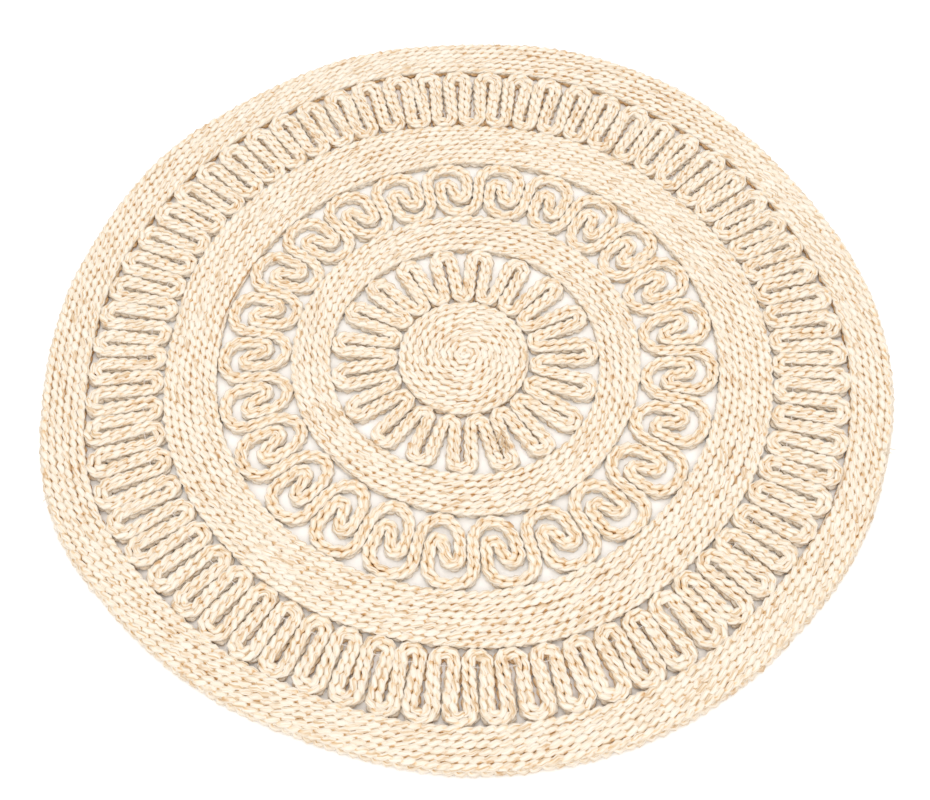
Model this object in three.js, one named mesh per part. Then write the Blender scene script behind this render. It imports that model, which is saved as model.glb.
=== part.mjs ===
import * as THREE from 'three';

// Round openwork straw rug, 1.2 m across, lying on its flat underside at z = 0.
// Millimetres, +Z up, +X to the right and +Y to the back.
// The maker plaits a long flat braid, sets it on edge and works outwards in rings:
// plain rings are coils of the braid, the lace rings are a doubled braid bent back and forth.
// Each ring is one solid here, and the stitches between rings are the gaps left between solids.

// Whole rug
const THICKNESS = 15;

// The seams from the middle outwards: the radius of each, which the ring outside it is named for, and
// the waves that uneven hand work puts in it: times a turn, size in mm and the angle of the bulge.
// The coils, which are the disc, the two bands and the border, hold 10, 6, 8 and 6 rows of braid
const SEAMS = {
  centre_disc: { radius: 0, waves: [] },
  inner_loops: { radius: 94, waves: [{ times: 1, size: 3.5, at: -135 }] },
  inner_band: {
    radius: 190.9,
    waves: [
      { times: 1, size: 2.4, at: -82 },
      { times: 2, size: 4.1, at: -53 },
      { times: 3, size: 1.6, at: -169 },
      { times: 4, size: 0.8, at: 154 },
    ],
  },
  scroll_ring: {
    radius: 249.2,
    waves: [
      { times: 1, size: 1.8, at: -45 },
      { times: 2, size: 2.7, at: -91 },
      { times: 3, size: 1.6, at: 174 },
      { times: 4, size: 1.5, at: 60 },
      { times: 5, size: 0.8, at: 17 },
    ],
  },
  middle_band: {
    radius: 356.9,
    waves: [
      { times: 1, size: 4.9, at: -72 },
      { times: 2, size: 1.6, at: -1 },
      { times: 5, size: 1.4, at: 6 },
    ],
  },
  outer_loops: {
    radius: 432.5,
    waves: [
      { times: 1, size: 5.0, at: -81 },
      { times: 2, size: 3.0, at: -78 },
      { times: 3, size: 1.0, at: 5 },
      { times: 4, size: 1.6, at: 104 },
      { times: 5, size: 1.8, at: -19 },
      { times: 8, size: 1.3, at: 143 },
    ],
  },
  border: {
    radius: 540.5,
    waves: [
      { times: 2, size: 2.4, at: -38 },
      { times: 3, size: 3.0, at: -91 },
      { times: 4, size: 2.0, at: 61 },
      { times: 5, size: 1.8, at: -51 },
      { times: 6, size: 1.0, at: -144 },
      { times: 7, size: 1.2, at: -13 },
      { times: 8, size: 1.1, at: 174 },
      { times: 11, size: 1.3, at: 52 },
    ],
  },
  rim: {
    radius: 599.5,
    waves: [
      { times: 1, size: 3.2, at: 97 },
      { times: 2, size: 2.0, at: -18 },
      { times: 3, size: 4.0, at: -127 },
      { times: 4, size: 1.4, at: 36 },
      { times: 5, size: 4.3, at: -48 },
      { times: 7, size: 1.1, at: 29 },
      { times: 8, size: 1.2, at: 115 },
      { times: 11, size: 1.2, at: 84 },
      { times: 12, size: 0.8, at: -125 },
    ],
  },
};
const SEAM_GAP = 0.6;

// The two hairpin rings: how many hairpins, where the first one stands, the doubled braid's width
// and the width of the slot left inside a hairpin at the ring's inner and outer side
const HAIRPINS = {
  inner_loops: { count: 19, first: 2.0, width: 16.6, innerSlot: 1.2, outerSlot: 7.5 },
  outer_loops: { count: 67, first: 4.04, width: 18.0, innerSlot: 5.0, outerSlot: 7.0 },
};

// The scroll ring: each period is an S of the doubled braid with its two ends curled in
const SCROLLS = {
  count: 25,
  first: 5.28,
  width: 16,
  middleRadius: 304.8,
  armFromMiddle: 20.4,
  archCentreHeight: 17,
  curlRadius: 9,
  curlHeight: [7.5, -3],
};

// Hand work is uneven: loops creep round their ring, in degrees, once, twice or three times a turn
const CREEP = {
  inner_loops: [
    { times: 1, size: 1.89, at: 75 },
    { times: 2, size: 1.63, at: 179 },
    { times: 3, size: 0.35, at: 137 },
  ],
  scroll_ring: [
    { times: 1, size: 1.05, at: 45 },
    { times: 2, size: 0.51, at: -3 },
    { times: 3, size: 0.46, at: 2 },
  ],
  outer_loops: [
    { times: 1, size: 0.32, at: -80 },
    { times: 2, size: 0.32, at: -131 },
    { times: 3, size: 0.12, at: -43 },
  ],
};

// Facets
const DISC_SIDES = 60;
const BAND_SIDES = 72;
const BORDER_SIDES = 96;

// Straw
const STRAW = { color: 0xf1e1ca, roughness: 0.85, metalness: 0 };
const STRAW_SHADED = { color: 0xe9d6ba, roughness: 0.88, metalness: 0 };

const radians = (degrees) => (degrees * Math.PI) / 180;

// Inner and outer radius of a ring
function ringSpan(name) {
  const index = Object.keys(SEAMS).indexOf(name);
  const [inner, outer] = Object.values(SEAMS).slice(index);
  return { inner: inner.radius, outer: outer === SEAMS.rim ? outer.radius : outer.radius - SEAM_GAP };
}

// Sum of a table of waves at an angle in degrees
function waves(table, angle) {
  return table.reduce((sum, w) => sum + w.size * Math.cos(w.times * radians(angle) - radians(w.at)), 0);
}

// How much closer or wider the loops stand at an angle than they would on an even ring
function stretch(table, angle) {
  return 1 + (waves(table, angle + 1) - waves(table, angle - 1)) / 2;
}

// A point of the real, uneven rug from its even place: angle in degrees counter-clockwise, radius.
// Between two seams their waves blend into each other
function place(angle, radius) {
  const seams = Object.values(SEAMS);
  const next = Math.max(seams.findIndex((seam) => seam.radius >= radius), 1);
  const [before, after] = seams.slice(next - 1);
  const share = (radius - before.radius) / (after.radius - before.radius);
  const bulge = waves(before.waves, angle) * (1 - share) + waves(after.waves, angle) * share;
  return new THREE.Vector2(
    (radius + bulge) * Math.cos(radians(angle)),
    (radius + bulge) * Math.sin(radians(angle)),
  );
}

// One closed line round the rug at a radius; a hole's sides are moved out so none cuts into the hole
function circle(radius, sides, isHole) {
  const corner = isHole ? radius / Math.cos(Math.PI / sides) : radius;
  return Array.from({ length: sides }, (_, i) => place((i * 360) / sides, corner));
}

// Middle of the rug's outline, which is put at x = 0, y = 0
function outlineMiddle() {
  const box = new THREE.Box2().setFromPoints(circle(SEAMS.rim.radius, BORDER_SIDES, false));
  return box.getCenter(new THREE.Vector2());
}
const MIDDLE = outlineMiddle();

// A flat slab between an outer line and, where given, a hole
function slab(name, outline, hole, finish) {
  const shape = new THREE.Shape(outline);
  if (hole) {
    shape.holes.push(new THREE.Path(hole));
  }
  const geometry = new THREE.ExtrudeGeometry(shape, { depth: THICKNESS, bevelEnabled: false });
  const mesh = new THREE.Mesh(geometry, new THREE.MeshStandardMaterial(finish));
  mesh.name = name;
  mesh.position.set(-MIDDLE.x, -MIDDLE.y, 0);
  return mesh;
}

// Coiled rows sewn side by side into one flat ring
function coil(name, sides) {
  const { inner, outer } = ringSpan(name);
  const hole = inner > 0 ? circle(inner, sides, true) : null;
  return slab(name, circle(outer, sides, false), hole, STRAW);
}

// Points of a half turn of a loop standing at an angle; rise is +1 outwards, -1 towards the middle
function halfTurn({ angle, radius, reach, rise, steps }) {
  return Array.from({ length: steps + 1 }, (_, i) => {
    const turn = (Math.PI * i) / steps;
    const across = (-reach * Math.cos(turn)) / radius;
    return { angle: angle + THREE.MathUtils.radToDeg(across), radius: radius + rise * reach * Math.sin(turn) };
  });
}

// One side of a hairpin ring: the side facing the border or the side facing the middle
function hairpinSide(name, facesOut) {
  const { inner, outer } = ringSpan(name);
  const { count, first, width, innerSlot, outerSlot } = HAIRPINS[name];
  const points = [];
  for (let k = 0; k < count; k += 1) {
    for (const half of [0, 0.5]) {
      const even = first + ((k + half) * 360) / count;
      const squeeze = stretch(CREEP[name], even);
      const braid = width * squeeze;
      const outerTurn = half === 0;
      const slot = (outerTurn ? outerSlot : innerSlot) * squeeze;
      const farSide = outerTurn === facesOut;
      points.push(
        ...halfTurn({
          angle: even + waves(CREEP[name], even),
          radius: outerTurn ? outer - braid - slot / 2 : inner + braid + slot / 2,
          reach: farSide ? slot / 2 + braid : slot / 2,
          rise: outerTurn ? 1 : -1,
          steps: farSide ? 4 : 1,
        }),
      );
    }
  }
  return points.map((p) => place(p.angle, p.radius));
}

function hairpinRing(name) {
  return slab(name, hairpinSide(name, true), hairpinSide(name, false), STRAW_SHADED);
}

// Points of an arc in a scroll's own flat frame: x clockwise, y outwards, turning from one angle to another
function arc({ x, y, reachX, reachY, from, to, steps }) {
  return Array.from({ length: steps + 1 }, (_, i) => {
    const turn = radians(from + ((to - from) * i) / steps);
    return { x: x + reachX * Math.cos(turn), y: y + reachY * Math.sin(turn) };
  });
}

// One side of one scroll, walked clockwise; side is +1 towards the border, -1 towards the middle
function scrollSide(side) {
  const { inner, outer } = ringSpan('scroll_ring');
  const { count, width, middleRadius, armFromMiddle, archCentreHeight, curlRadius, curlHeight } = SCROLLS;
  const half = width / 2;
  const period = (2 * Math.PI * middleRadius) / count;
  const archX = (armFromMiddle - period / 2) / 2;
  const archReach = (armFromMiddle + period / 2) / 2;
  const curlX = armFromMiddle - curlRadius;
  const [curlUp, curlShift] = curlHeight;
  const topReach = outer - middleRadius - archCentreHeight - half;
  const footReach = middleRadius - archCentreHeight - half - inner;
  const wide = side * half;
  return [
    ...arc({
      x: archX,
      y: archCentreHeight,
      reachX: archReach + wide,
      reachY: topReach + wide,
      from: 180,
      to: 0,
      steps: 4,
    }),
    ...arc({
      x: curlX,
      y: curlShift - curlUp,
      reachX: curlRadius + wide,
      reachY: curlRadius + wide,
      from: 0,
      to: -170,
      steps: side > 0 ? 3 : 1,
    }),
    ...arc({
      x: -curlX,
      y: curlShift + curlUp,
      reachX: curlRadius - wide,
      reachY: curlRadius - wide,
      from: 10,
      to: 180,
      steps: side > 0 ? 1 : 3,
    }),
    ...arc({
      x: -archX,
      y: -archCentreHeight,
      reachX: archReach - wide,
      reachY: footReach - wide,
      from: 180,
      to: 360,
      steps: 4,
    }),
  ];
}

// The same side of every scroll, one after another round the ring; a slab's lines are all walked
// counter-clockwise, so the points, laid clockwise, are turned round at the end
function scrollRingSide(side) {
  const oneScroll = scrollSide(side);
  const points = [];
  for (let k = 0; k < SCROLLS.count; k += 1) {
    for (const { x, y } of oneScroll) {
      const across = THREE.MathUtils.radToDeg(x / SCROLLS.middleRadius);
      const even = SCROLLS.first - (k * 360) / SCROLLS.count - across;
      points.push(place(even + waves(CREEP.scroll_ring, even), SCROLLS.middleRadius + y));
    }
  }
  return points.reverse();
}

function scrollRing() {
  return slab('scroll_ring', scrollRingSide(1), scrollRingSide(-1), STRAW_SHADED);
}

const rug = new THREE.Group();
rug.name = 'round_straw_rug';
rug.add(coil('centre_disc', DISC_SIDES));
rug.add(hairpinRing('inner_loops'));
rug.add(coil('inner_band', BAND_SIDES));
rug.add(scrollRing());
rug.add(coil('middle_band', BAND_SIDES));
rug.add(hairpinRing('outer_loops'));
rug.add(coil('border', BORDER_SIDES));

export default rug;
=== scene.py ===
import math

import bpy
import numpy as np
from mathutils import Matrix, Vector


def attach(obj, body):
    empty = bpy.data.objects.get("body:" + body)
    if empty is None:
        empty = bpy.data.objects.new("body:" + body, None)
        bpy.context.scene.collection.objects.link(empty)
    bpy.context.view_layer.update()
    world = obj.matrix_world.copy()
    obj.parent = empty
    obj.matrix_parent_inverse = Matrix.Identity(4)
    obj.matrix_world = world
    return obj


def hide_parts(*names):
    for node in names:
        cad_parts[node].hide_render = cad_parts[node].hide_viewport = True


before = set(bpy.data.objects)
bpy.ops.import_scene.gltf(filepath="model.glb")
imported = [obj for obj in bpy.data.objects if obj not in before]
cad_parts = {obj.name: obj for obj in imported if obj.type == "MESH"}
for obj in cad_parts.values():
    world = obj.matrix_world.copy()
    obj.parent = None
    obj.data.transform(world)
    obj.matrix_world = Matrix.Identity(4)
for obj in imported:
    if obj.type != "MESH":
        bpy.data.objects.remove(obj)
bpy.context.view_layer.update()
bpy.ops.object.select_all(action="DESELECT")


# Centre disc: one long braid of three corn-husk bundles, flat as it is plaited, set on its edge
# and wound outwards from the middle. Each row is sewn through its side to the row before it, and
# the tail is thinned and tucked against the first ring of loops.
MID_HEIGHT = 0.0075
OUTLINE_MIDDLE = (0.001168, 0.001448)
SEAMS = (
    # radius of each seam between rings, then its waves: times a turn, size, degrees of the bulge
    (0, ()),
    (0.094, ((1, 0.0035, -135),)),
    (0.1909, ((1, 0.0024, -82), (2, 0.0041, -53), (3, 0.0016, -169), (4, 0.0008, 154))),
    (0.2492, ((1, 0.0018, -45), (2, 0.0027, -91), (3, 0.0016, 174), (4, 0.0015, 60), (5, 0.0008, 17))),
    (0.3569, ((1, 0.0049, -72), (2, 0.0016, -1), (5, 0.0014, 6))),
    (
        0.4325,
        (
            (1, 0.005, -81),
            (2, 0.003, -78),
            (3, 0.001, 5),
            (4, 0.0016, 104),
            (5, 0.0018, -19),
            (8, 0.0013, 143),
        ),
    ),
    (
        0.5405,
        (
            (2, 0.0024, -38),
            (3, 0.003, -91),
            (4, 0.002, 61),
            (5, 0.0018, -51),
            (6, 0.001, -144),
            (7, 0.0012, -13),
            (8, 0.0011, 174),
            (11, 0.0013, 52),
        ),
    ),
    (
        0.5995,
        (
            (1, 0.0032, 97),
            (2, 0.002, -18),
            (3, 0.004, -127),
            (4, 0.0014, 36),
            (5, 0.0043, -48),
            (7, 0.0011, 29),
            (8, 0.0012, 115),
            (11, 0.0012, 84),
            (12, 0.0008, -125),
        ),
    ),
)


def lay(angle, radius):
    """Where a point of an even rug, by angle in degrees and radius, lies on this uneven one."""
    turn = np.radians(angle)
    at_seam = np.array([seam for seam, waves in SEAMS])
    bulge = np.zeros(len(turn))
    for this_seam, (_, waves) in zip(np.eye(len(SEAMS)), SEAMS):
        wave = sum(size * np.cos(times * turn - math.radians(at)) for times, size, at in waves)
        bulge = bulge + wave * np.interp(radius, at_seam, this_seam)
    x = (radius + bulge) * np.cos(turn) - OUTLINE_MIDDLE[0]
    y = (radius + bulge) * np.sin(turn) - OUTLINE_MIDDLE[1]
    return np.stack([x, y], axis=1)


SPIRAL_EYE = 0.0015
TAIL_GIRTH = 0.3


def coil_line(inner, pitch, rows, join_from, join_span):
    """Centre line of rows wound counter-clockwise, each stepping outwards over the join, with its
    girth along the line and where its left and right sides have no row beside them."""
    way = np.arange(0, rows * 360 + join_span, 1.0)
    row = np.floor(way / 360)
    step = np.clip((way - 360 * row) / join_span, 0, 1)
    ease = step * step * (3 - 2 * step)
    radius = inner + pitch * (row - 0.5 + ease)
    radius = np.where(row == 0, inner + pitch * 0.5 * ease, radius)
    radius = np.where(row == rows, inner + pitch * (rows - 0.5 + 0.5 * ease), radius)
    girth = np.where(row == 0, ease, np.where(row == rows, 1 - ease, 1.0))
    radius = np.hypot(radius, SPIRAL_EYE) if inner <= 0 else radius
    shape = {
        "girth": np.clip(girth, TAIL_GIRTH, 1),
        "open_left": (row == 0) & (inner > 0),
        "open_right": way > (rows - 1) * 360 + join_span / 2,
    }
    return lay(join_from + way, radius), shape


FINE_STEP = 0.001
RING_SPACING = 0.0054
RING_TURN = 0.33
PATH_SMOOTHING, BEND_SMOOTHING, MARGIN = 5, 7, 9


def running_mean(values, count):
    """The mean of each value and its neighbours, so many in all."""
    return np.convolve(values, np.ones(count) / count, "same")


def walk(line, closed):
    """Points along a line, closer together where it bends, with their heading and the way gone."""
    corners = np.vstack([line, line[:1]]) if closed else line
    gone = np.concatenate([[0], np.cumsum(np.hypot(*np.diff(corners, axis=0).T))])
    length = gone[-1]
    count = int(length / FINE_STEP)
    fine = np.arange(count) * length / count
    path = np.stack([np.interp(fine, gone, corners[:, axis]) for axis in (0, 1)], axis=1)
    if closed:
        before, after = path[-MARGIN:], path[:MARGIN]
    else:
        before, after = 2 * path[0] - path[MARGIN:0:-1], 2 * path[-1] - path[-2:-2 - MARGIN:-1]
    padded = np.concatenate([before, path, after])
    smooth = np.stack([running_mean(padded[:, axis], PATH_SMOOTHING) for axis in (0, 1)], axis=1)
    ahead = np.gradient(smooth, axis=0)
    heading = np.unwrap(np.arctan2(ahead[:, 1], ahead[:, 0]))
    bend = np.abs(np.gradient(heading)) / (length / count)
    bend = running_mean(bend, BEND_SMOOTHING)[MARGIN:-MARGIN]
    heading = heading[MARGIN:-MARGIN]
    rate = np.maximum(1 / RING_SPACING, bend / RING_TURN)
    beats = np.concatenate([[0], np.cumsum(rate * length / count)])
    total = int(round(beats[-1]))
    ticks = np.linspace(0, beats[-1], total, endpoint=not closed)
    way = np.interp(ticks, beats, np.append(fine, length))
    path = smooth[MARGIN:-MARGIN]
    if closed:
        whole_turns = round((heading[-1] - heading[0]) / (2 * math.pi))
        path = np.vstack([path, path[:1]])
        heading = np.append(heading, heading[0] + 2 * math.pi * whole_turns)
    else:
        path = np.vstack([path, path[-1:]])
        heading = np.append(heading, heading[-1])
    fine = np.append(fine, length)
    point = np.stack([np.interp(way, fine, path[:, axis]) for axis in (0, 1)], axis=1)
    return point, np.interp(way, fine, heading), way, length


def wander(way, length, spacing, size, rng, closed):
    """A hand's slow unevenness along the braid: a random value every so often, eased between."""
    count = max(3, int(length / spacing))
    values = rng.normal(0, size, count + 1)
    if closed:
        values[-1] = values[0]
    place = np.clip(way / length, 0, 1) * count
    low = np.minimum(place.astype(int), count - 1)
    part = place - low
    part = part * part * (3 - 2 * part)
    return values[low] * (1 - part) + values[low + 1] * part


PLAIT_LENGTH = 0.045
STRAND_RISE = 0.0043
STRAND_SWAY = 0.0021
STRAND_HALF_WIDTH = 0.0046
STRAND_NARROWEST = 0.70
STRAND_HALF_HEIGHT = 0.0031
STRAND_FLATNESS = 0.5
STRAND_TOP_CREASE_SHADE = 0.25
STRAND_SECTION = ((0, -1), (1, -0.6), (1, 0.6), (0, 1), (-1, 0.6), (-1, -0.6))
STRAND_ENDS = ((3, 2, 1, 0), (5, 4, 3, 0))
CORE_SECTION = ((1, -1), (1, 1), (-1, 1), (-1, -1))
CORE_ENDS = ((3, 2, 1, 0),)
CORE_HALF_WIDTH = 0.0041
CORE_HALF_HEIGHT = 0.0046
CORE_DEEPER = 0.3
STANDS_PROUD = 0.0012
UNEVEN = {
    # how far apart along the braid the hand's unevenness changes, in metres, and its size
    "path": (0.05, 0.00035),
    "plait": (0.09, 0.22),
    "strand": (0.03, 0.10),
    "rise": (0.012, 0.00022),
    "sway": (0.014, 0.00018),
    "swell": (0.011, 0.10),
}
CREASE_UNEVEN = 0.06
WALL_DEEPEST = 0.88
WALL_FOOT = 0.22
SEATED_OVER = 0.5


def tube_faces(first, rings, ends, sides, closed):
    """Four-sided faces round and along a tube of so many rings, and over its two ends if it has any."""
    ring = np.arange(rings if closed else rings - 1)
    faces = []
    for j in range(sides):
        k = (j + 1) % sides
        here, there = first + ring * sides, first + (ring + 1) % rings * sides
        faces.append(np.stack([here + j, here + k, there + k, there + j], axis=1))
    if not closed:
        faces.append(first + np.array(ends))
        faces.append(first + (rings - 1) * sides + np.array(ends)[:, ::-1])
    return np.concatenate(faces)


def tube_husk(way, length, offset, ends, sides, closed):
    """Husk coordinates of the same faces: metres along the tube and the part of the way round it."""
    here = way if closed else way[:-1]
    there = np.append(way[1:], length) if closed else way[1:]
    husk = []
    for j in range(sides):
        low, high = np.full(len(here), j / sides), np.full(len(here), (j + 1) / sides)
        near, far = here + offset, there + offset
        husk.append(np.stack([near, low, near, high, far, high, far, low], axis=1))
    if not closed:
        husk.append(np.full((2 * len(ends), 8), 0.5))
    return np.concatenate(husk)


def plait(line, closed, seed, girth=1.0, open_left=0, open_right=0, wall=0.4, lean=0.0, tuck=0.0):
    """Three strands plaited on edge along a line, with the husk packed between them: corners,
    four-sided faces, husk coordinates, and for each corner two values that set its painted shade,
    how deep it lies between rows and how far at a strand's edge. A side that is open, without a
    row beside it, gets painted shade only near the floor, from the wall's part of the middle height
    down. Lean moves the lower strands sideways, and a thinned end is tucked down and pale, with no
    painted shade between rows."""
    rng = np.random.default_rng(seed)
    point, heading, way, length = walk(line, closed)
    plaits = max(1, round(length / PLAIT_LENGTH)) if closed else length / PLAIT_LENGTH
    gone = np.concatenate([[0], np.cumsum(np.hypot(*np.diff(line, axis=0).T))])
    size, open_left, open_right, wall, lean = [
        np.interp(way, gone, np.broadcast_to(value, len(line)))
        for value in (girth, open_left, open_right, wall, lean)
    ]
    left = np.stack([-np.sin(heading), np.cos(heading)], axis=1)

    def hand(what):
        return wander(way, length, *UNEVEN[what], rng, closed)

    point = point + left * hand("path")[:, None]
    slack = hand("plait")
    turns = 2 * math.pi * plaits * way / length + slack + rng.uniform(0, 2 * math.pi)
    middle_height = MID_HEIGHT - tuck * (1 - size)
    # the painted shade between rows fades out along a thinned end
    seated = np.clip((size - TAIL_GIRTH) / SEATED_OVER, 0, 1)[:, None]
    corners, faces, husk, depth = [], [], [], []
    rings = len(way)

    def add_tube(middle, wide, high, section, ends, turn_edge, deeper):
        """One strand or the core, as a tube of so many sides along its middle line."""
        if closed:
            ahead = np.roll(middle, -1, axis=0) - np.roll(middle, 1, axis=0)
        else:
            ahead = np.gradient(middle, axis=0)
        ahead /= np.linalg.norm(ahead, axis=1)[:, None]
        side = np.cross([0, 0, 1], ahead)
        side /= np.linalg.norm(side, axis=1)[:, None]
        over = np.cross(ahead, side)
        across, upright = np.array(section).T
        crease = 1 + rng.normal(0, CREASE_UNEVEN, (rings, len(section)))
        shell = (
            middle[:, None, :]
            + side[:, None, :] * (wide[:, None] * across * crease)[:, :, None]
            + over[:, None, :] * (high[:, None] * upright * crease)[:, :, None]
        )
        shell[:, :, 2] = np.clip(shell[:, :, 2], 0.0, 2 * MID_HEIGHT + STANDS_PROUD)
        off = np.einsum("rsx,rx->rs", shell[:, :, :2] - point[:, None, :], left)
        bare = np.where(off > 0, open_left[:, None], open_right[:, None])
        level_up = shell[:, :, 2] / MID_HEIGHT
        # painted shade: between rows a corner is shaded most at the middle height, where the rows press
        # together; an open side is shaded from the wall's height down, fading out right at the floor
        deep = (1 - bare) * (1 - np.abs(level_up - 1) + deeper) * seated
        wall_deep = np.minimum(wall[:, None] - level_up, WALL_DEEPEST)
        deep = deep + bare * wall_deep * np.clip(level_up / WALL_FOOT, 0, 1)
        # painted crease shade along a strand's edges where it turns under its neighbour, and along the
        # top and bottom of a strand on an open side
        row_edge = np.abs(across) * turn_edge[:, None]
        wall_edge = (np.abs(upright) == 1) * (0.5 + 0.5 * turn_edge[:, None])
        edge = ((1 - bare) * row_edge + bare * wall_edge) * seated
        first = sum(len(part) for part in corners)
        offset = rng.uniform(0, 40)
        corners.append(shell.reshape(-1, 3))
        depth.append(np.column_stack([np.clip(deep, 0, 1).ravel(), edge.ravel()]))
        faces.append(tube_faces(first, rings, ends, len(section), closed))
        husk.append(tube_husk(way, length, offset, ends, len(section), closed))

    for strand in range(3):
        turn = turns + strand * 2 * math.pi / 3 + hand("strand")
        upper = np.sin(turn) ** 2
        level = np.sin(turn) * np.sqrt((1 + STRAND_FLATNESS ** 2) / (upper + STRAND_FLATNESS ** 2))
        rise = (STRAND_RISE + hand("rise")) * level * size
        sway = -STRAND_SWAY * np.sin(2 * turn) * size + hand("sway")
        sway = sway + lean * np.minimum(rise, 0)
        middle = np.column_stack([point + left * sway[:, None], middle_height + rise])
        flatter = STRAND_NARROWEST + (1 - STRAND_NARROWEST) * upper
        wide = STRAND_HALF_WIDTH * flatter * (1 + hand("swell")) * size
        high = STRAND_HALF_HEIGHT * size
        # the painted crease shade is full where the strand crosses the middle height between its
        # neighbours, and a quarter of that at its highest and lowest
        turn_edge = 1 - (1 - STRAND_TOP_CREASE_SHADE) * upper
        add_tube(middle, wide, high, STRAND_SECTION, STRAND_ENDS, turn_edge, deeper=0.0)
    # the core between the strands is given more painted shade than the strands
    core = np.column_stack([point, middle_height])
    wide, high = CORE_HALF_WIDTH * size, CORE_HALF_HEIGHT * size
    add_tube(core, wide, high, CORE_SECTION, CORE_ENDS, 0 * size, deeper=CORE_DEEPER)
    return np.concatenate(corners), np.concatenate(faces), np.concatenate(husk), np.concatenate(depth)


def mesh_piece(name, parts, material):
    """One object from several sets of corners, four-sided faces, husk coordinates and depths."""
    mesh = bpy.data.meshes.new(name)
    firsts = np.cumsum([0] + [len(part[0]) for part in parts])
    corners = np.concatenate([part[0] for part in parts])
    faces = np.concatenate([part[1] + first for part, first in zip(parts, firsts)])
    husk = np.concatenate([part[2] for part in parts])
    depth = np.concatenate([part[3] for part in parts])
    mesh.vertices.add(len(corners))
    mesh.vertices.foreach_set("co", corners.astype(np.float32).ravel())
    mesh.loops.add(faces.size)
    mesh.loops.foreach_set("vertex_index", faces.astype(np.int32).ravel())
    mesh.polygons.add(len(faces))
    mesh.polygons.foreach_set("loop_start", np.arange(0, faces.size, 4, dtype=np.int32))
    mesh.update(calc_edges=True)
    mesh.uv_layers.new(name="husk").data.foreach_set("uv", husk.astype(np.float32).ravel())
    for column, attribute in enumerate(("depth", "edge")):
        values = mesh.attributes.new(attribute, "FLOAT", "POINT")
        values.data.foreach_set("value", depth[:, column].astype(np.float32))
    mesh.polygons.foreach_set("use_smooth", np.ones(len(faces), dtype=bool))
    mesh.materials.append(material)
    mesh.update()
    piece = bpy.data.objects.new(name, mesh)
    bpy.context.scene.collection.objects.link(piece)
    return piece


corn_husk = bpy.data.materials.new("corn_husk")
corn_husk.use_nodes = True
husk_nodes, husk_links = corn_husk.node_tree.nodes, corn_husk.node_tree.links
husk_shader = husk_nodes["Principled BSDF"]
husk_shader.inputs["Roughness"].default_value = 0.62
husk_shader.inputs["Specular IOR Level"].default_value = 0.35


def husk_pattern(across, along, detail, seed):
    """Noise that follows the strands: so many patches a metre along them and so many round them."""
    coordinates = husk_nodes.new("ShaderNodeUVMap")
    coordinates.uv_map = "husk"
    mapping = husk_nodes.new("ShaderNodeMapping")
    mapping.inputs["Scale"].default_value = (along, across, 1)
    mapping.inputs["Location"].default_value = (seed, seed * 1.7, seed)
    noise = husk_nodes.new("ShaderNodeTexNoise")
    noise.inputs["Scale"].default_value = 1
    noise.inputs["Detail"].default_value = detail
    husk_links.new(coordinates.outputs["UV"], mapping.inputs["Vector"])
    husk_links.new(mapping.outputs["Vector"], noise.inputs["Vector"])
    return noise.outputs["Fac"]


def husk_ramp(value, stops):
    """A colour for each value, from stops that each give a place and a colour."""
    ramp = husk_nodes.new("ShaderNodeValToRGB")
    while len(ramp.color_ramp.elements) < len(stops):
        ramp.color_ramp.elements.new(0.5)
    for element, (position, colour) in zip(ramp.color_ramp.elements, stops):
        element.position = position
        element.color = (*colour, 1)
    husk_links.new(value, ramp.inputs["Fac"])
    return ramp.outputs["Color"]


tone = husk_ramp(
    husk_pattern(across=2.2, along=60, detail=3, seed=3),
    [
        (0.27, (0.56, 0.36, 0.19)),
        (0.34, (0.70, 0.57, 0.43)),
        (0.40, (0.77, 0.695, 0.59)),
        (0.60, (0.805, 0.74, 0.65)),
    ],
)
fibre_value = husk_pattern(across=26, along=70, detail=4, seed=11)
fibres = husk_ramp(
    fibre_value,
    [(0.25, (0.72, 0.62, 0.50)), (0.45, (0.98, 0.96, 0.94)), (0.75, (1, 1, 1))],
)
fold_value = husk_pattern(across=7, along=32, detail=2, seed=7)
folds = husk_ramp(
    fold_value,
    [(0.32, (0.74, 0.58, 0.40)), (0.44, (0.96, 0.92, 0.86)), (0.56, (1, 1, 1))],
)


def husk_stain_and_shade(colour, stain):
    """One colour darkened by another: by the grooves and fibres of the husk, and by painted shade."""
    blend = husk_nodes.new("ShaderNodeMix")
    blend.data_type = "RGBA"
    blend.blend_type = "MULTIPLY"
    blend.inputs["Factor"].default_value = 1.0
    husk_links.new(colour, blend.inputs["A"])
    husk_links.new(stain, blend.inputs["B"])
    return blend.outputs["Result"]


# painted shade: the depth attribute browns the husk deep between rows and low on the open sides, where
# shade falls; on the loose husk ends the same value is their own tan
husk_depth = husk_nodes.new("ShaderNodeAttribute")
husk_depth.attribute_name = "depth"
depth_shade_and_tan = husk_ramp(
    husk_depth.outputs["Fac"],
    [
        (0.25, (1, 1, 1)),
        (0.50, (0.96, 0.82, 0.63)),
        (0.75, (0.88, 0.60, 0.33)),
        (0.98, (0.45, 0.25, 0.10)),
    ],
)
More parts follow.
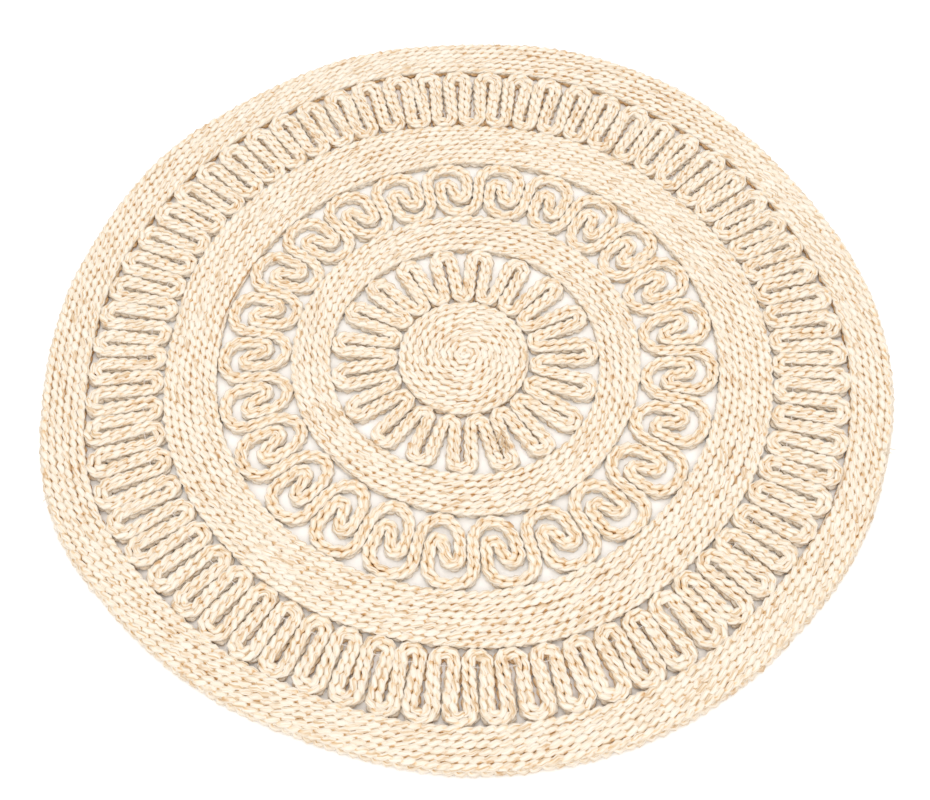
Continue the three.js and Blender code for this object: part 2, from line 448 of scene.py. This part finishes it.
# painted crease shade along the strands' edges, broken into brown patches by a noise: the edge and a
# noise, brought back to 0 to 1
husk_edge = husk_nodes.new("ShaderNodeAttribute")
husk_edge.attribute_name = "edge"
crease_shade_value = husk_nodes.new("ShaderNodeMath")
crease_shade_value.operation = "MULTIPLY_ADD"
crease_shade_value.inputs[1].default_value = 0.8
husk_links.new(husk_pattern(across=2, along=85, detail=2, seed=17), crease_shade_value.inputs[0])
husk_links.new(husk_edge.outputs["Fac"], crease_shade_value.inputs[2])
edge_share = husk_nodes.new("ShaderNodeMath")
edge_share.operation = "MULTIPLY"
edge_share.inputs[1].default_value = 0.57
husk_links.new(crease_shade_value.outputs["Value"], edge_share.inputs[0])
creases = husk_ramp(
    edge_share.outputs["Value"],
    [(0.56, (1, 1, 1)), (0.68, (0.97, 0.86, 0.70)), (0.82, (0.74, 0.47, 0.24))],
)
husk_colour = husk_stain_and_shade(husk_stain_and_shade(husk_stain_and_shade(husk_stain_and_shade(tone, folds), fibres), creases), depth_shade_and_tan)
husk_links.new(husk_colour, husk_shader.inputs["Base Color"])
fold_bump = husk_nodes.new("ShaderNodeBump")
fold_bump.inputs["Strength"].default_value = 0.8
fold_bump.inputs["Distance"].default_value = 0.0012
husk_links.new(fold_value, fold_bump.inputs["Height"])
fibre_bump = husk_nodes.new("ShaderNodeBump")
fibre_bump.inputs["Strength"].default_value = 0.6
fibre_bump.inputs["Distance"].default_value = 0.0005
husk_links.new(fibre_value, fibre_bump.inputs["Height"])
husk_links.new(fold_bump.outputs["Normal"], fibre_bump.inputs["Normal"])
husk_links.new(fibre_bump.outputs["Normal"], husk_shader.inputs["Normal"])

disc_line, disc_shape = coil_line(
    inner=-0.0026, pitch=0.0096, rows=10, join_from=300, join_span=100
)
disc_plait = plait(disc_line, closed=False, seed=11, **disc_shape, wall=1.0, tuck=0.003)
centre_disc = mesh_piece("centre_disc_braid", [disc_plait], corn_husk)
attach(centre_disc, "root")
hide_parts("centre_disc")

# painted shade: a brown sheet inside the braids between the rows, coloured like the shade seen through
# the gaps
pit_shade_brown = bpy.data.materials.new("pit_shade_brown")
pit_shade_brown.use_nodes = True
pit_shade_nodes, pit_shade_links = pit_shade_brown.node_tree.nodes, pit_shade_brown.node_tree.links
pit_shade_shader = pit_shade_nodes["Principled BSDF"]
pit_shade_shader.inputs["Roughness"].default_value = 0.9
pit_shade_place = pit_shade_nodes.new("ShaderNodeTexCoord")
pit_shade_noise = pit_shade_nodes.new("ShaderNodeTexNoise")
pit_shade_noise.inputs["Scale"].default_value = 220
pit_shade_noise.inputs["Detail"].default_value = 3
pit_shade_ramp = pit_shade_nodes.new("ShaderNodeValToRGB")
pit_shade_ramp.color_ramp.elements[0].color = (0.52, 0.34, 0.17, 1)
pit_shade_ramp.color_ramp.elements[1].color = (0.80, 0.61, 0.41, 1)
pit_shade_links.new(pit_shade_place.outputs["Object"], pit_shade_noise.inputs["Vector"])
pit_shade_links.new(pit_shade_noise.outputs["Fac"], pit_shade_ramp.inputs["Fac"])
pit_shade_links.new(pit_shade_ramp.outputs["Color"], pit_shade_shader.inputs["Base Color"])

PIT_SHADE_HALF_HEIGHT = 0.0015


def pit_shade_layer(name, inner, outer):
    """A thin flat layer inside the braid between the rows, closing the gaps there. Its brown is
    painted shade, the colour of the shade seen through the gaps between rows."""
    sides, steps = 144, 4
    angle = np.arange(sides) * 360 / sides
    rings = []
    for k in range(2 * steps):
        part = k if k < steps else 2 * steps - 1 - k
        radius = inner + (outer - inner) * part / (steps - 1)
        height = MID_HEIGHT + (PIT_SHADE_HALF_HEIGHT if k < steps else -PIT_SHADE_HALF_HEIGHT)
        rings.append(np.column_stack([lay(angle, np.full(sides, radius)), np.full(sides, height)]))
    corners = np.concatenate(rings)
    ring = np.arange(sides)
    after = (ring + 1) % sides
    faces = []
    for k in range(2 * steps):
        low, high = k * sides, (k + 1) % (2 * steps) * sides
        faces.append(np.stack([low + ring, high + ring, high + after, low + after], axis=1))
    faces = np.concatenate(faces)
    no_husk, no_depth = np.zeros((len(faces), 8)), np.zeros((len(corners), 2))
    layer = mesh_piece(name, [(corners, faces, no_husk, no_depth)], pit_shade_brown)
    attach(layer, "root")


pit_shade_layer("centre_disc_middle", inner=0.001, outer=0.089)


# Inner loops: the braid doubled, two rows side by side, and bent to and fro into nineteen hairpins
# that stand round the disc like petals. Only the bends are sewn, to the disc and to the next band.
def creep(angle, waves):
    """How far in degrees the even spacing of loops or scrolls has crept round the ring."""
    return sum(size * np.cos(times * np.radians(angle) - math.radians(at)) for times, size, at in waves)


BEND_STEPS = 19
SLOT_SHADE = 1.1
SHADE_AT_SIDES, SHADE_FAR_AND_NEAR = 0.45, 1.2
LACE_TUCK = 0.0074


def hairpin_line(count, first, inner, outer, bends, uneven, waves, row):
    """Centre line of one row of the doubled braid, row = -1 on the middle's side and 1 on the
    border's, and its shape along the line. Each kind of bend has the doubled braid's width, the slot
    inside it, the girth of a row and how high its outside is shaded, which is less at the rug's left
    and right. The straight arms are unevenly spaced."""
    angles, radii, girth, wall = [], [], [], []
    turn = np.linspace(0, math.pi, BEND_STEPS)
    shift = np.random.default_rng(count).normal(0, uneven, 2 * count)
    for k in range(count):
        for half, (width, slot, size, shade), rise in ((0, bends[1], 1), (1, bends[0], -1)):
            before, after = shift[2 * k + half], shift[(2 * k + half + 1) % (2 * count)]
            centre = outer - width - slot / 2 if rise > 0 else inner + width + slot / 2
            angle = first + (k + half / 2) * 360 / count + np.degrees((before + after) / 2 / centre)
            reach = (slot + width) / 2 + row * rise * width / 4
            sideways = (reach + (after - before) / 2) * np.cos(turn)
            angles.append(angle - np.degrees(sideways / centre))
            radii.append(centre + rise * reach * np.sin(turn))
            girth.append(np.full(BEND_STEPS, size))
            far_or_near = math.sin(math.radians(angle)) ** 2
            shaded = SHADE_AT_SIDES + (SHADE_FAR_AND_NEAR - SHADE_AT_SIDES) * far_or_near
            wall.append(np.full(BEND_STEPS, shaded * (shade if row == rise else SLOT_SHADE)))
    angles, radii = np.concatenate(angles), np.concatenate(radii)
    shape = {
        "girth": np.concatenate(girth),
        "wall": np.concatenate(wall),
        "open_left": row < 0,
        "open_right": row > 0,
    }
    return lay(angles + creep(angles, waves), radii), shape


INNER_BENDS = (
    # doubled braid's width, slot, girth and shade, at the inner bends and at the outer ones
    (0.0160, 0.0016, 0.88, 1.0),
    (0.0178, 0.0062, 0.96, 0.3),
)
INNER_CREEP = ((1, 1.89, 75), (2, 1.63, 179), (3, 0.35, 137))
inner_plaits = []
for row in (-1, 1):
    line, shape = hairpin_line(
        count=19,
        first=2.0,
        inner=0.0942,
        outer=0.1908,
        bends=INNER_BENDS,
        uneven=0.0009,
        waves=INNER_CREEP,
        row=row,
    )
    loop_plait = plait(line, closed=True, seed=21 + row, **shape, lean=0.3 * row, tuck=LACE_TUCK)
    inner_plaits.append(loop_plait)
inner_loops = mesh_piece("inner_loop_braids", inner_plaits, corn_husk)
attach(inner_loops, "root")
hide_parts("inner_loops")


# Inner band: six rows of the braid wound round the ends of the loops and sewn row to row through
# their sides. Both ends of the braid are thinned and tucked against the rows beside them.
inner_band_line, inner_band_shape = coil_line(
    inner=0.1909, pitch=0.0097, rows=6, join_from=200, join_span=40
)
inner_band_plait = plait(inner_band_line, closed=False, seed=31, **inner_band_shape, tuck=0.002)
inner_band = mesh_piece("inner_band_braid", [inner_band_plait], corn_husk)
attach(inner_band, "root")
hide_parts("inner_band")
pit_shade_layer("inner_band_middle", inner=0.1955, outer=0.2445)


# Scroll ring: the doubled braid runs out, over and back into a curl, turns about itself and leaves
# under the next arch, twenty-five S scrolls in all. They touch side by side and are sewn there.
def scroll_line(count, first, inner, outer, width, waves, row):
    """Centre line of one row of the doubled braid, walked clockwise, row = 1 on the border's side."""
    middle_radius, arm, arch_height = 0.3048, 0.0204, 0.017
    curl, curl_middle, curl_apart = 0.009, -0.003, 0.0075
    period = 2 * math.pi * middle_radius / count
    arch_x, arch_reach = (arm - period / 2) / 2, (arm + period / 2) / 2
    top = outer - middle_radius - arch_height - width / 2
    foot = middle_radius - arch_height - width / 2 - inner
    out = row * width / 4
    pieces = (
        # centre across, centre outwards, reach across, reach outwards, from, to
        (arch_x, arch_height, arch_reach + out, top + out, 180, 0),
        (arm - curl, curl_middle - curl_apart, curl + out, curl + out, 0, -170),
        (curl - arm, curl_middle + curl_apart, curl - out, curl - out, 10, 180),
        (-arch_x, -arch_height, arch_reach - out, foot - out, 180, 360),
    )
    x, y = [], []
    for centre_x, centre_y, reach_x, reach_y, start, end in pieces:
        turn = np.radians(np.linspace(start, end, 17))
        x.append(centre_x + reach_x * np.cos(turn))
        y.append(centre_y + reach_y * np.sin(turn))
    x, y = np.concatenate(x), np.concatenate(y)
    starts = first - np.repeat(np.arange(count), len(x)) * 360 / count
    angles = starts - np.tile(np.degrees(x / middle_radius), count)
    radii = np.tile(middle_radius + y, count)
    return lay(angles + creep(angles, waves), radii)


SCROLL_CREEP = ((1, 1.05, 45), (2, 0.51, -3), (3, 0.46, 2))
# wall: how high the painted shade reaches on the open sides of the scrolls
scroll_shape = {"girth": 0.87, "wall": 0.35, "tuck": LACE_TUCK}
scroll_plaits = []
for row, seed in ((-1, 41), (1, 42)):
    line = scroll_line(
        count=25, first=5.28, inner=0.2492, outer=0.3563, width=0.0156, waves=SCROLL_CREEP, row=row
    )
    sides = {"open_left": row > 0, "open_right": row < 0, "lean": -0.25 * row}
    scroll_plaits.append(plait(line, closed=True, seed=seed, **scroll_shape, **sides))
scroll_ring = mesh_piece("scroll_braids", scroll_plaits, corn_husk)
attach(scroll_ring, "root")
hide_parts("scroll_ring")


# Middle band: eight rows of the braid wound round the scrolls, sewn to the tops of their arches and
# row to row through their sides.
middle_band_line, middle_band_shape = coil_line(
    inner=0.3569, pitch=0.00945, rows=8, join_from=150, join_span=35
)
middle_band_plait = plait(middle_band_line, closed=False, seed=51, **middle_band_shape, tuck=0.002)
middle_band = mesh_piece("middle_band_braid", [middle_band_plait], corn_husk)
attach(middle_band, "root")
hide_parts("middle_band")
pit_shade_layer("middle_band_middle", inner=0.3615, outer=0.4280)


# Outer loops: the doubled braid again, bent into sixty-seven narrow hairpins side by side. Only the
# bends are sewn, to the bands on both sides, and the two rows are a piece each.
OUTER_COUNT, OUTER_FIRST = 67, 4.04
OUTER_BENDS = (
    (0.0167, 0.0080, 0.90, 1.1),
    (0.0186, 0.0094, 1.0, 0.6),
)
OUTER_CREEP = ((1, 0.32, -80), (2, 0.32, -131), (3, 0.12, -43))
for row, name in ((-1, "outer_loop_braid_inside"), (1, "outer_loop_braid_outside")):
    line, shape = hairpin_line(
        count=OUTER_COUNT,
        first=OUTER_FIRST,
        inner=0.4325,
        outer=0.5411,
        bends=OUTER_BENDS,
        uneven=0.0011,
        waves=OUTER_CREEP,
        row=row,
    )
    loop_plait = plait(line, closed=True, seed=61 + row, **shape, lean=0.42 * row, tuck=LACE_TUCK)
    loop_braid = mesh_piece(name, [loop_plait], corn_husk)
    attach(loop_braid, "root")
    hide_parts("outer_loops")


# Sewing threads and loose husk: a white cotton thread crosses the slot at each inner bend of the
# outer loops and ties the two sides together. One place in the inner loops is frayed, and a few
# ends of husk stand out of the braid there and at the border.
CORD_SECTION = ((0, -1), (1, 0), (0, 1), (-1, 0))
CORD_ENDS = ((3, 2, 1, 0),)
CORD_TIP = 0.4
CORD_STEP = 0.002


def cord(path, half_width, tan=0.0):
    """A thin four-sided cord along a path, narrower towards both ends, and how tan its husk is."""
    count, sides = len(path), len(CORD_SECTION)
    ahead = np.gradient(path, axis=0)
    ahead /= np.linalg.norm(ahead, axis=1)[:, None]
    side = np.cross([0, 0, 1], ahead)
    side /= np.linalg.norm(side, axis=1)[:, None]
    over = np.cross(ahead, side)
    across, upright = np.array(CORD_SECTION).T
    taper = half_width * (CORD_TIP + (1 - CORD_TIP) * np.sin(np.linspace(0.0, math.pi, count)))
    shell = path[:, None, :] + side[:, None, :] * (taper[:, None] * across)[:, :, None]
    shell = shell + over[:, None, :] * (taper[:, None] * upright)[:, :, None]
    way = np.arange(count) * CORD_STEP
    faces = tube_faces(0, count, CORD_ENDS, sides, closed=False)
    husk = tube_husk(way, way[-1], path[0, 0] * 50, CORD_ENDS, sides, closed=False)
    return shell.reshape(-1, 3), faces, husk, np.tile((tan, 0.0), (count * sides, 1))


cotton = bpy.data.materials.new("cotton_thread")
cotton.use_nodes = True
cotton_shader = cotton.node_tree.nodes["Principled BSDF"]
cotton_shader.inputs["Base Color"].default_value = (0.62, 0.55, 0.50, 1)
cotton_shader.inputs["Roughness"].default_value = 0.9
THREAD_RADIUS, THREAD_REACH, THREAD_HALF_WIDTH = 0.4605, 0.0075, 0.0007
THREAD_WAVE = (-0.0004, 0.0003, -0.0002, 0.0004)
THREAD_HEIGHTS = (0.0128, 0.0118, 0.0116, 0.0126)
thread_paths = []
for k in range(OUTER_COUNT):
    angle = np.full(4, OUTER_FIRST + (k + 0.5) * 360 / OUTER_COUNT)
    across = np.linspace(-THREAD_REACH, THREAD_REACH, 4) / THREAD_RADIUS
    angle = angle + creep(angle, OUTER_CREEP) + np.degrees(across)
    crossing = lay(angle, THREAD_RADIUS + np.array(THREAD_WAVE))
    thread_paths.append(np.column_stack([crossing, THREAD_HEIGHTS]))
threads = mesh_piece("loop_threads", [cord(path, THREAD_HALF_WIDTH) for path in thread_paths], cotton)
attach(threads, "root")

FRAY_COUNT, FRAY_STEPS, FRAY_HALF_WIDTH = 13, 7, 0.0008
FRAY_MIDDLE, FRAY_SPREAD = np.array([0.0475, -0.136]), np.array([0.0035, 0.007])
FRAY_HEADING, FRAY_FAN, FRAY_CURL = -66, 22, 45
FRAY_SHORTEST, FRAY_LONGEST = 0.010, 0.020
FRAY_HEIGHT, FRAY_ARCH = 0.0146, 0.0012
fray_rng = np.random.default_rng(7)
loose_ends = []
for k in range(FRAY_COUNT):
    start = FRAY_MIDDLE + FRAY_SPREAD * fray_rng.normal(0, 1, 2) - OUTLINE_MIDDLE
    heading = math.radians(fray_rng.normal(FRAY_HEADING, FRAY_FAN))
    along = np.linspace(0, fray_rng.uniform(FRAY_SHORTEST, FRAY_LONGEST), FRAY_STEPS)
    bend = fray_rng.normal(0, FRAY_CURL)
    x = start[0] + along * np.cos(heading + bend * along)
    y = start[1] + along * np.sin(heading + bend * along)
    arch = np.sin(np.linspace(0, math.pi, FRAY_STEPS)) * fray_rng.uniform(0.2, 1)
    path = np.column_stack([x, y, FRAY_HEIGHT + FRAY_ARCH * arch])
    loose_ends.append(cord(path, FRAY_HALF_WIDTH, tan=fray_rng.uniform(0.4, 0.65)))
RIM_RADIUS, RIM_HALF_WIDTH, RIM_TAN = 0.600, 0.0006, 0.1
RIM_HEIGHTS = (0.013, 0.0155, 0.0150, 0.0135, 0.012)
for angle, reach in ((-16.6, 0.011), (-17.2, 0.003), (84.0, 0.004), (200.0, 0.005)):
    bent = angle + np.array([-0.5, -0.1, 0.0, 0.1, 0.25])
    line = lay(bent, RIM_RADIUS + np.array([-0.012, -0.008, -0.002, reach / 2, reach]))
    loose_ends.append(cord(np.column_stack([line, RIM_HEIGHTS]), RIM_HALF_WIDTH, tan=RIM_TAN))
loose = mesh_piece("loose_husk", loose_ends, corn_husk)
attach(loose, "root")


# Border: six rows of the braid wound round the outer loops and sewn row to row. The outermost row
# leans outwards, and the end of the braid is thinned and tucked against it.
# the outermost row's lean, and how high painted shade reaches on the rim's outside and on the side
# facing the loops
RIM_LEAN, RIM_WALL, LOOP_SIDE_WALL = 0.95, 0.7, 1.45
border_line, border_shape = coil_line(
    inner=0.5405, pitch=0.00945, rows=6, join_from=320, join_span=32
)
border_shape["lean"] = RIM_LEAN * running_mean(border_shape["open_right"], 31)
border_shape["wall"] = np.where(border_shape["open_left"], LOOP_SIDE_WALL, RIM_WALL)
border_plait = plait(border_line, closed=False, seed=71, **border_shape, tuck=0.002)
border = mesh_piece("border_braid", [border_plait], corn_husk)
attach(border, "root")
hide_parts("border")
pit_shade_layer("border_middle", inner=0.5455, outer=0.5945)


# Floor, soft studio light and camera: a white floor, an even white sky, and two wide lamps, one
# overhead and one in front.
bpy.ops.mesh.primitive_plane_add(size=12, location=(0, 0, 0))
floor = bpy.context.object
floor.name = "floor"
floor_paint = bpy.data.materials.new("floor_paint")
floor_paint.use_nodes = True
paint_shader = floor_paint.node_tree.nodes["Principled BSDF"]
paint_shader.inputs["Base Color"].default_value = (0.91, 0.89, 0.865, 1)
paint_shader.inputs["Roughness"].default_value = 0.9
floor.data.materials.append(floor_paint)

sky = bpy.data.worlds.new("studio")
bpy.context.scene.world = sky
sky.use_nodes = True
sky.node_tree.nodes["Background"].inputs["Color"].default_value = (1, 1, 1, 1)
sky.node_tree.nodes["Background"].inputs["Strength"].default_value = 1.12

LAMPS = (("overhead", (0, 0.6, 2.8), 20), ("front", (0, -3.0, 2.6), 30))
for lamp_name, lamp_place, lamp_watts in LAMPS:
    bpy.ops.object.light_add(type="AREA", location=lamp_place)
    lamp = bpy.context.object
    lamp.name = lamp_name
    lamp.data.shape = "DISK"
    lamp.data.size = 2.0
    lamp.data.energy = lamp_watts
    lamp.rotation_euler = (-lamp.location).to_track_quat("-Z", "Y").to_euler()

# the camera is almost two metres away and looks down at sixty degrees
CAMERA_AIM = (-0.00245 - OUTLINE_MIDDLE[0], -0.075 - OUTLINE_MIDDLE[1], 2 * MID_HEIGHT)
CAMERA_RISE, CAMERA_ROLL, CAMERA_WAY = math.radians(60.3724), math.radians(-1.7325), 1.941774
forward = Vector((0, math.cos(CAMERA_RISE), -math.sin(CAMERA_RISE)))
right = Vector((1, 0, 0))
upward = right.cross(forward)
camera_x = math.cos(CAMERA_ROLL) * right + math.sin(CAMERA_ROLL) * upward
camera_y = math.cos(CAMERA_ROLL) * upward - math.sin(CAMERA_ROLL) * right
bpy.ops.object.camera_add()
camera = bpy.context.object
camera.matrix_world = Matrix.Translation(Vector(CAMERA_AIM) - CAMERA_WAY * forward) @ Matrix(
    (
        (camera_x.x, camera_y.x, -forward.x, 0),
        (camera_x.y, camera_y.y, -forward.y, 0),
        (camera_x.z, camera_y.z, -forward.z, 0),
        (0, 0, 0, 1),
    )
)
camera.data.sensor_width = 36
camera.data.lens = 53.63
bpy.context.scene.camera = camera
bpy.context.scene.view_settings.view_transform = "Standard"
